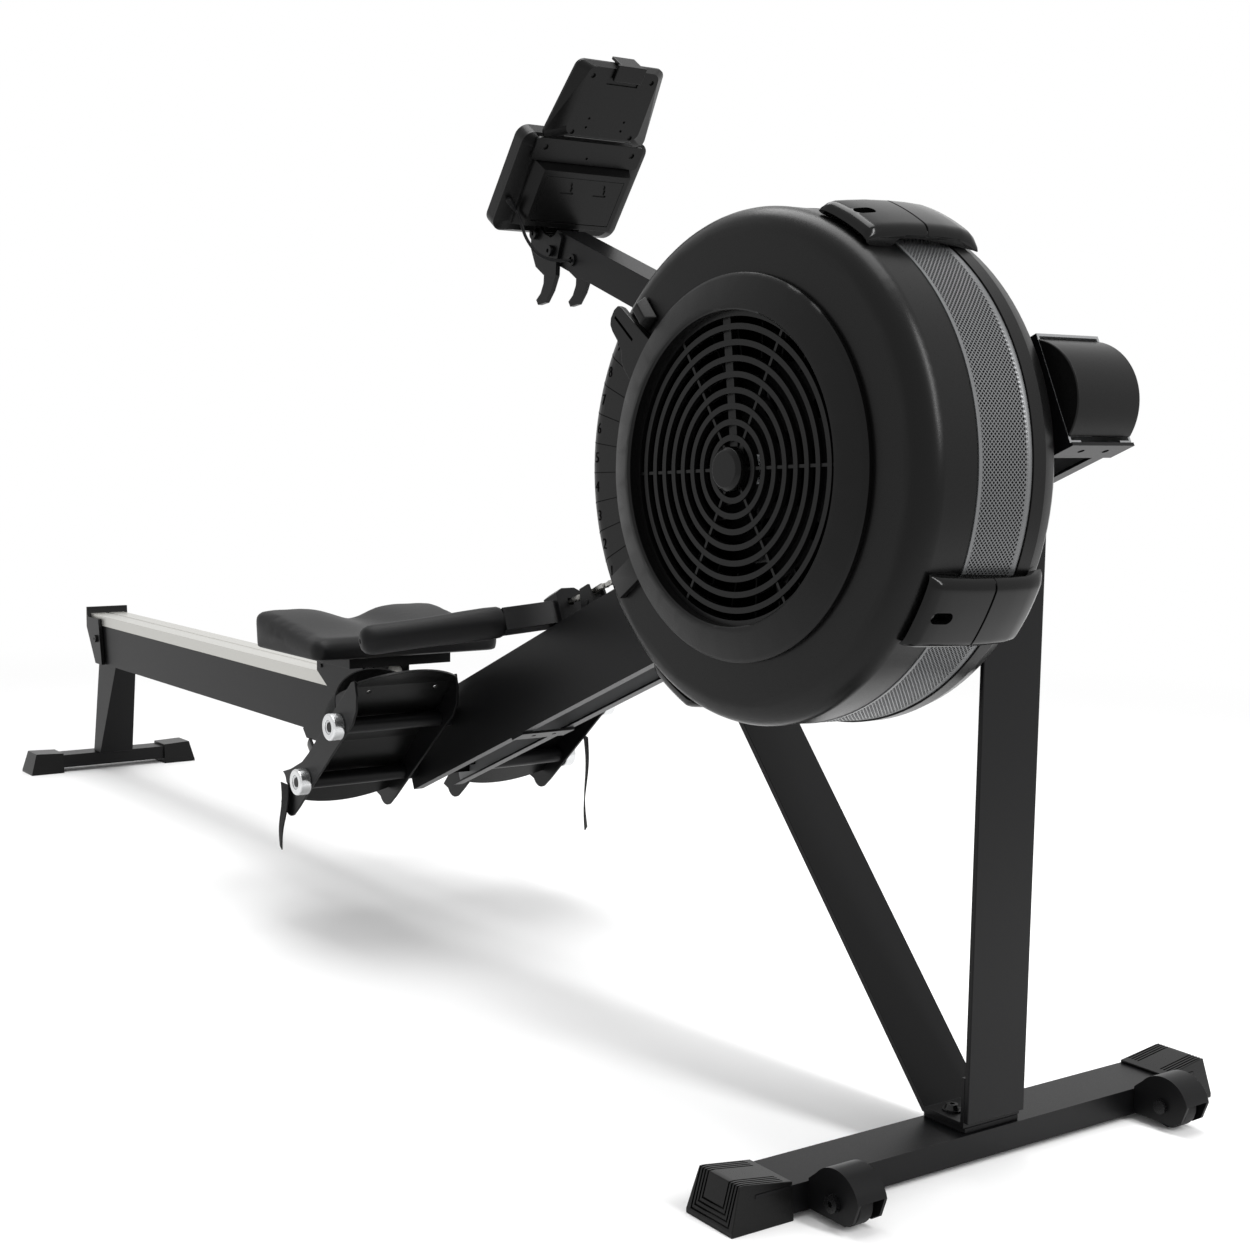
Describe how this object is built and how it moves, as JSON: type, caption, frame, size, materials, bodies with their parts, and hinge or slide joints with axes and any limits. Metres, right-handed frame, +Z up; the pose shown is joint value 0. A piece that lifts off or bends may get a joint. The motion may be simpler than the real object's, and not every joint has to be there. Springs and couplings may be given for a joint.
{
  "type": "rowing machine",
  "caption": "Air rowing machine with a caged fan on an inclined beam, level seat rail, sliding seat, footrests, chain handle and a monitor on a folding arm.",
  "frame": {"origin": "on the floor, at the middle of the machine's length and width", "axes": "+X towards the fan end, +Y to the user's left, +Z up"},
  "size_m": [2.349, 0.61, 1.0632],
  "materials": {
    "black_steel": "satin",
    "black_plastic": "satin",
    "button_grey": "matte",
    "steel": "satin",
    "flywheel_steel": "matte",
    "chain_nickel": "satin",
    "rubber": "matte",
    "silver_mesh": "satin",
    "rail_aluminium": "satin",
    "bright_aluminium": "satin",
    "roller_nylon": "matte",
    "seat_foam": "matte",
    "grip_foam": "matte",
    "webbing": "matte"
  },
  "bodies": {
    "frame": {"front_foot_bar": "black_steel", "front_foot_caps": "black_plastic", "foot_packer": "black_plastic", "frame_bolts": "steel", "wheel_brackets": "black_steel", "front_post": "black_steel", "rear_strut": "black_steel", "main_beam": "black_steel", "beam_nose": "black_plastic", "bearing_blocks": "steel", "inner_chain": "chain_nickel", "return_cord": "rubber", "fan_housing_right": "black_plastic", "fan_grille": "black_plastic", "hub_cap": "black_plastic", "mesh_band": "silver_mesh", "fan_housing_left": "black_plastic", "housing_clamps": "black_plastic", "clamp_screws": "steel", "arm_lugs": "black_steel", "chain_guide": "black_steel", "rail_cradle": "black_steel", "seat_rail": "black_steel", "rail_track": "rail_aluminium", "rail_end_cap": "black_plastic", "rear_leg": "black_steel", "rear_foot_bar": "black_steel", "rear_foot_caps": "black_plastic", "foot_side_plates": "black_steel", "foot_axles": "black_steel", "foot_spacers": "bright_aluminium", "footboards": "black_plastic", "foot_straps": "webbing"},
    "fan_rotor": {"fan_axle": "steel", "flywheel": "flywheel_steel"},
    "sprocket": {"chain_sprocket": "steel"},
    "front_pulley": {"nose_pulley": "rubber"},
    "damper": {"damper_ring": "black_plastic"},
    "wheel_right": {"transport_wheel_right": "rubber"},
    "wheel_left": {"transport_wheel_left": "rubber"},
    "arm": {"monitor_arm": "black_steel", "monitor_bracket": "black_steel", "sensor_cable": "rubber"},
    "monitor": {"monitor_back": "black_plastic", "monitor_front": "black_plastic", "phone_holder": "black_plastic"},
    "button_left": {"monitor_button_left": "button_grey"},
    "button_middle": {"monitor_button_middle": "button_grey"},
    "button_right": {"monitor_button_right": "button_grey"},
    "door": {"battery_door": "black_plastic"},
    "clamp_tab": {"phone_clamp": "black_plastic"},
    "chain_lead": {"chain": "chain_nickel"},
    "handle": {"handle_bar": "black_steel", "handle_grips": "grip_foam"},
    "seat": {"seat_carriage": "black_steel", "seat_pad": "seat_foam"},
    "rollers_rear": {"seat_rollers_rear": "roller_nylon"},
    "rollers_front": {"seat_rollers_front": "roller_nylon"},
    "heel_right": {"heel_cup_right": "black_plastic"},
    "heel_left": {"heel_cup_left": "black_plastic"}
  },
  "joints": [
    {"name": "fan_spin", "type": "hinge", "parent": "frame", "child": "fan_rotor", "pos_m": [0.93922, 0, 0.61627], "axis": [0, 1, 0], "continuous": true},
    {"name": "sprocket_spin", "type": "hinge", "parent": "frame", "child": "sprocket", "pos_m": [0.93922, 0, 0.61627], "axis": [0, 1, 0], "continuous": true},
    {"name": "front_pulley_spin", "type": "hinge", "parent": "frame", "child": "front_pulley", "pos_m": [1.12247, 0, 0.67527], "axis": [0, 1, 0], "continuous": true},
    {"name": "damper_turn", "type": "hinge", "parent": "frame", "child": "damper", "pos_m": [0.93922, 0, 0.61627], "axis": [0, 1, 0], "range_deg": [-48, 0]},
    {"name": "wheel_right_spin", "type": "hinge", "parent": "frame", "child": "wheel_right", "pos_m": [1.1145, -0.206, 0.0225], "axis": [0, 1, 0], "continuous": true},
    {"name": "wheel_left_spin", "type": "hinge", "parent": "frame", "child": "wheel_left", "pos_m": [1.1145, 0.206, 0.0225], "axis": [0, 1, 0], "continuous": true},
    {"name": "arm_fold", "type": "hinge", "parent": "frame", "child": "arm", "pos_m": [0.91408, 0, 0.66224], "axis": [0, 1, 0], "range_deg": [-20, 45]},
    {"name": "monitor_tilt", "type": "hinge", "parent": "arm", "child": "monitor", "pos_m": [0.36066, 0, 0.87921], "axis": [0, 1, 0], "range_deg": [-15, 15], "deforming": ["sensor_cable"]},
    {"name": "button_left_press", "type": "slide", "parent": "monitor", "child": "button_left", "axis": [0.809, 0, -0.5878], "range_m": [0, 0.001], "stiffness_N_per_m": 300, "springref_m": -0.0008},
    {"name": "button_middle_press", "type": "slide", "parent": "monitor", "child": "button_middle", "axis": [0.809, 0, -0.5878], "range_m": [0, 0.001], "stiffness_N_per_m": 300, "springref_m": -0.0008},
    {"name": "button_right_press", "type": "slide", "parent": "monitor", "child": "button_right", "axis": [0.809, 0, -0.5878], "range_m": [0, 0.001], "stiffness_N_per_m": 300, "springref_m": -0.0008},
    {"name": "battery_door_open", "type": "hinge", "parent": "monitor", "child": "door", "pos_m": [0.39405, 0, 0.89125], "axis": [0, 1, 0], "range_deg": [0, 40]},
    {"name": "phone_clamp_slide", "type": "slide", "parent": "monitor", "child": "clamp_tab", "axis": [0.5878, 0, 0.809], "range_m": [0, 0.02], "stiffness_N_per_m": 250, "springref_m": -0.01},
    {"name": "chain_swing", "type": "hinge", "parent": "frame", "child": "chain_lead", "pos_m": [0.93922, 0, 0.61627], "axis": [0, 1, 0], "range_deg": [0, 24.5]},
    {"name": "handle_pull", "type": "slide", "parent": "chain_lead", "child": "handle", "axis": [-0.9431, 0, -0.3325], "range_m": [0, 1.3], "stiffness_N_per_m": 12, "springref_m": -1.3, "deforming": ["chain"]},
    {"name": "seat_slide", "type": "slide", "parent": "frame", "child": "seat", "axis": [1, 0, 0], "range_m": [-0.9, 0.1]},
    {"name": "rollers_rear_turn", "type": "hinge", "parent": "seat", "child": "rollers_rear", "pos_m": [-0.1715, 0, 0.308], "axis": [0, 1, 0], "continuous": true},
    {"name": "rollers_front_turn", "type": "hinge", "parent": "seat", "child": "rollers_front", "pos_m": [-0.0585, 0, 0.308], "axis": [0, 1, 0], "continuous": true},
    {"name": "heel_cup_right_slide", "type": "slide", "parent": "frame", "child": "heel_right", "axis": [0.7373, 0, 0.6756], "range_m": [-0.02, 0.03]},
    {"name": "heel_cup_left_slide", "type": "slide", "parent": "frame", "child": "heel_left", "axis": [0.7373, 0, 0.6756], "range_m": [-0.02, 0.03]}
  ],
  "couplings": [
    {"joint": "sprocket_spin", "follows": "handle_pull", "rad_per_m": -55.556},
    {"joint": "front_pulley_spin", "follows": "handle_pull", "rad_per_m": -54.705},
    {"joint": "chain_swing", "follows": "handle_pull", "rad_per_m": 0.32221},
    {"joint": "rollers_rear_turn", "follows": "seat_slide", "rad_per_m": 101.01},
    {"joint": "rollers_front_turn", "follows": "seat_slide", "rad_per_m": 101.01}
  ]
}
